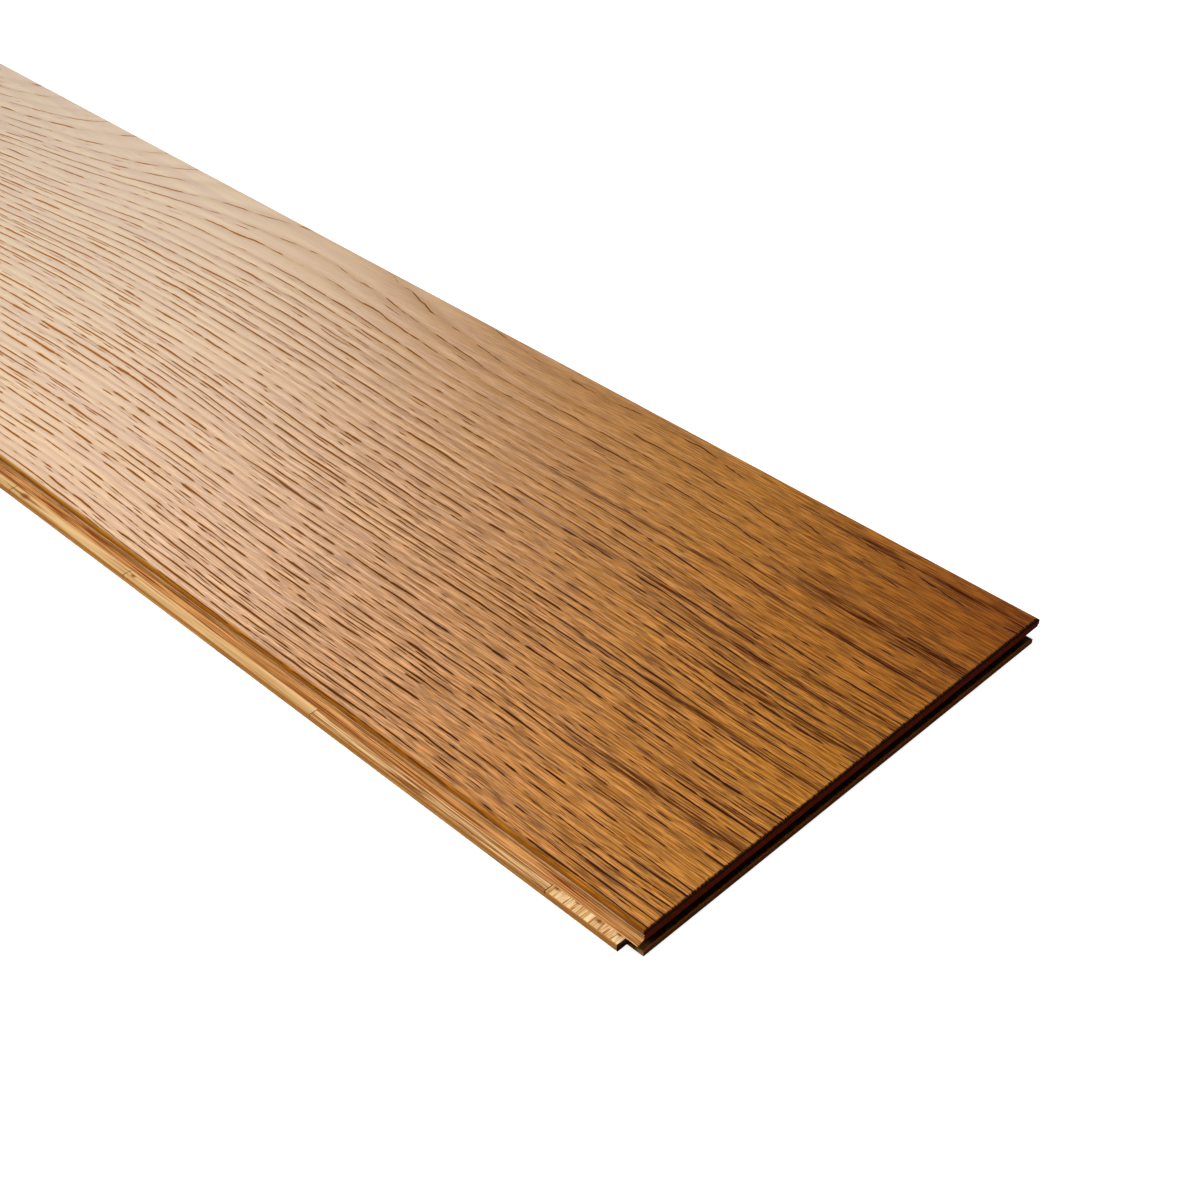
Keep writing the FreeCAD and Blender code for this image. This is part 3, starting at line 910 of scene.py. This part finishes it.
# The lower half of the tongue: smooth and golden
golden_veneer = bare_wood("golden_long_veneer", "X", pale="#D69B56", dark="#B27A3C", torn="#946028",
                          end_grain="#5A2A14", streak_length=25.0, streak_width=0.5, seed=3.7,
                          end_shade=END_SHADE)
# The back: sanded; its end grain is light as a painted highlight on the lip's edge, and what looks up is
# painted dark as the groove's shade
backing_veneer = bare_wood("backing_veneer", "X", pale="#CFA268", dark="#A87A44", torn="#8A5E30",
                           end_grain="#B4602A", streak_length=40.0, streak_width=0.6, seed=4.9,
                           top_shade=TOP_SHADE)

strip_looks = {1: pale_veneer, 2: streaked_veneer}
ply_looks = {"lower_cross_ply": tan_veneer, "long_ply": golden_veneer, "backing_ply": backing_veneer}
for name, node in nodes.items():
    if name.startswith("cross_strip"):
        number = int(name.split("_")[-1])
        node.material_slots[0].material = strip_looks.get(number % STRIPS_IN_PATTERN, golden_strip)
    elif name in ply_looks:
        node.material_slots[0].material = ply_looks[name]
print("finishes given to", len(nodes), "pieces")

# %% [markdown]
# ## The lights
# One large soft window stands low behind the board on the left, and one of its upper panes is brighter.
# The face mirrors it towards the camera at the far end and not at the near one, which is why the wood
# fades from pale to deep brown. A small soft fill in front lights the tongue, and another overhead
# lifts the near end.

# %% Lights
LIGHTS_AIM = Vector((0.84, 0.0, 0.01))
AMBIENT = 0.03
WHITE = (1, 1, 1, 1)


def soft_light(name, azimuth, elevation, distance, width, height, radiance):
    """A flat soft light that faces the board. Its power follows from how bright its surface looks."""
    turn = math.radians(azimuth)
    rise = math.radians(elevation)
    direction = Vector((math.cos(turn) * math.cos(rise), math.sin(turn) * math.cos(rise), math.sin(rise)))
    bpy.ops.object.light_add(type="AREA", location=LIGHTS_AIM + direction * distance)
    light = bpy.context.object
    light.name = name
    light.rotation_euler = (-direction).to_track_quat("-Z", "Y").to_euler()
    light.data.shape = "RECTANGLE"
    light.data.size = width
    light.data.size_y = height
    light.data.energy = math.pi * width * height * radiance


soft_light("window", azimuth=169.8, elevation=32.0, distance=2.6, width=2.5, height=1.25, radiance=2.9)
soft_light("bright_pane", azimuth=157.5, elevation=39.0, distance=2.5, width=0.7, height=0.4, radiance=6.5)
soft_light("fill", azimuth=260.4, elevation=34.0, distance=0.607, width=0.3, height=0.3, radiance=9.0)
soft_light("top", azimuth=281.3, elevation=78.4, distance=1.01, width=0.6, height=0.6, radiance=5.3)

world = bpy.data.worlds.new("studio")
world.use_nodes = True
world.node_tree.nodes.clear()
ambient = add(world.node_tree, "ShaderNodeBackground", {"Color": WHITE, "Strength": AMBIENT})
add(world.node_tree, "ShaderNodeOutputWorld", {"Surface": ambient})
bpy.context.scene.world = world

# %% [markdown]
# ## Floor and backdrop
# The board lies on white paper, with a low backdrop round it. Paper that bright would throw light up at
# the board, so it is white only for the camera and in mirrors, and dim for the rest. It keeps the board's
# shadow.

# %% Floor and backdrop
STUDIO_RADIUS = 8.0
BACKDROP_HEIGHT = 2.2
BACKDROP_SIDES = 96
FLOOR_LEVEL = -0.2 * MM
PAPER = "#BEBEBE"
PAPER_GLOW = 0.85
DIM_PAPER = "#505050"

bpy.ops.mesh.primitive_plane_add(size=2 * STUDIO_RADIUS, location=(0, 0, FLOOR_LEVEL))
floor = bpy.context.object
floor.name = "studio_floor"
bpy.ops.mesh.primitive_cylinder_add(vertices=BACKDROP_SIDES, radius=STUDIO_RADIUS, depth=BACKDROP_HEIGHT,
                                    end_fill_type="NOTHING", location=(0, 0, BACKDROP_HEIGHT / 2))
backdrop = bpy.context.object
backdrop.name = "studio_backdrop"
# Paper for backgrounds: matt and plain white to the eye, with only the board's shadow on it
paper, tree = new_material("white_paper")
path = add(tree, "ShaderNodeLightPath")
matte = add(tree, "ShaderNodeBsdfDiffuse", {"Color": linear(PAPER)})
glow = add(tree, "ShaderNodeEmission", {"Color": WHITE, "Strength": PAPER_GLOW})
bright = add(tree, "ShaderNodeAddShader", {0: matte, 1: glow})
dim = add(tree, "ShaderNodeBsdfDiffuse", {"Color": linear(DIM_PAPER)})
seen = path.outputs["Is Camera Ray"]
for ray in ("Is Glossy Ray", "Is Transmission Ray"):
    seen = add(tree, "ShaderNodeMath", {0: seen, 1: path.outputs[ray]}, operation="MAXIMUM")
shown = add(tree, "ShaderNodeMixShader", {0: seen, 1: dim, 2: bright})
add(tree, "ShaderNodeOutputMaterial", {"Surface": shown})
for sheet in (floor, backdrop):
    sheet.data.materials.append(paper)

bpy.context.scene.view_settings.view_transform = "Standard"
print("studio is", 2 * STUDIO_RADIUS, "m wide")
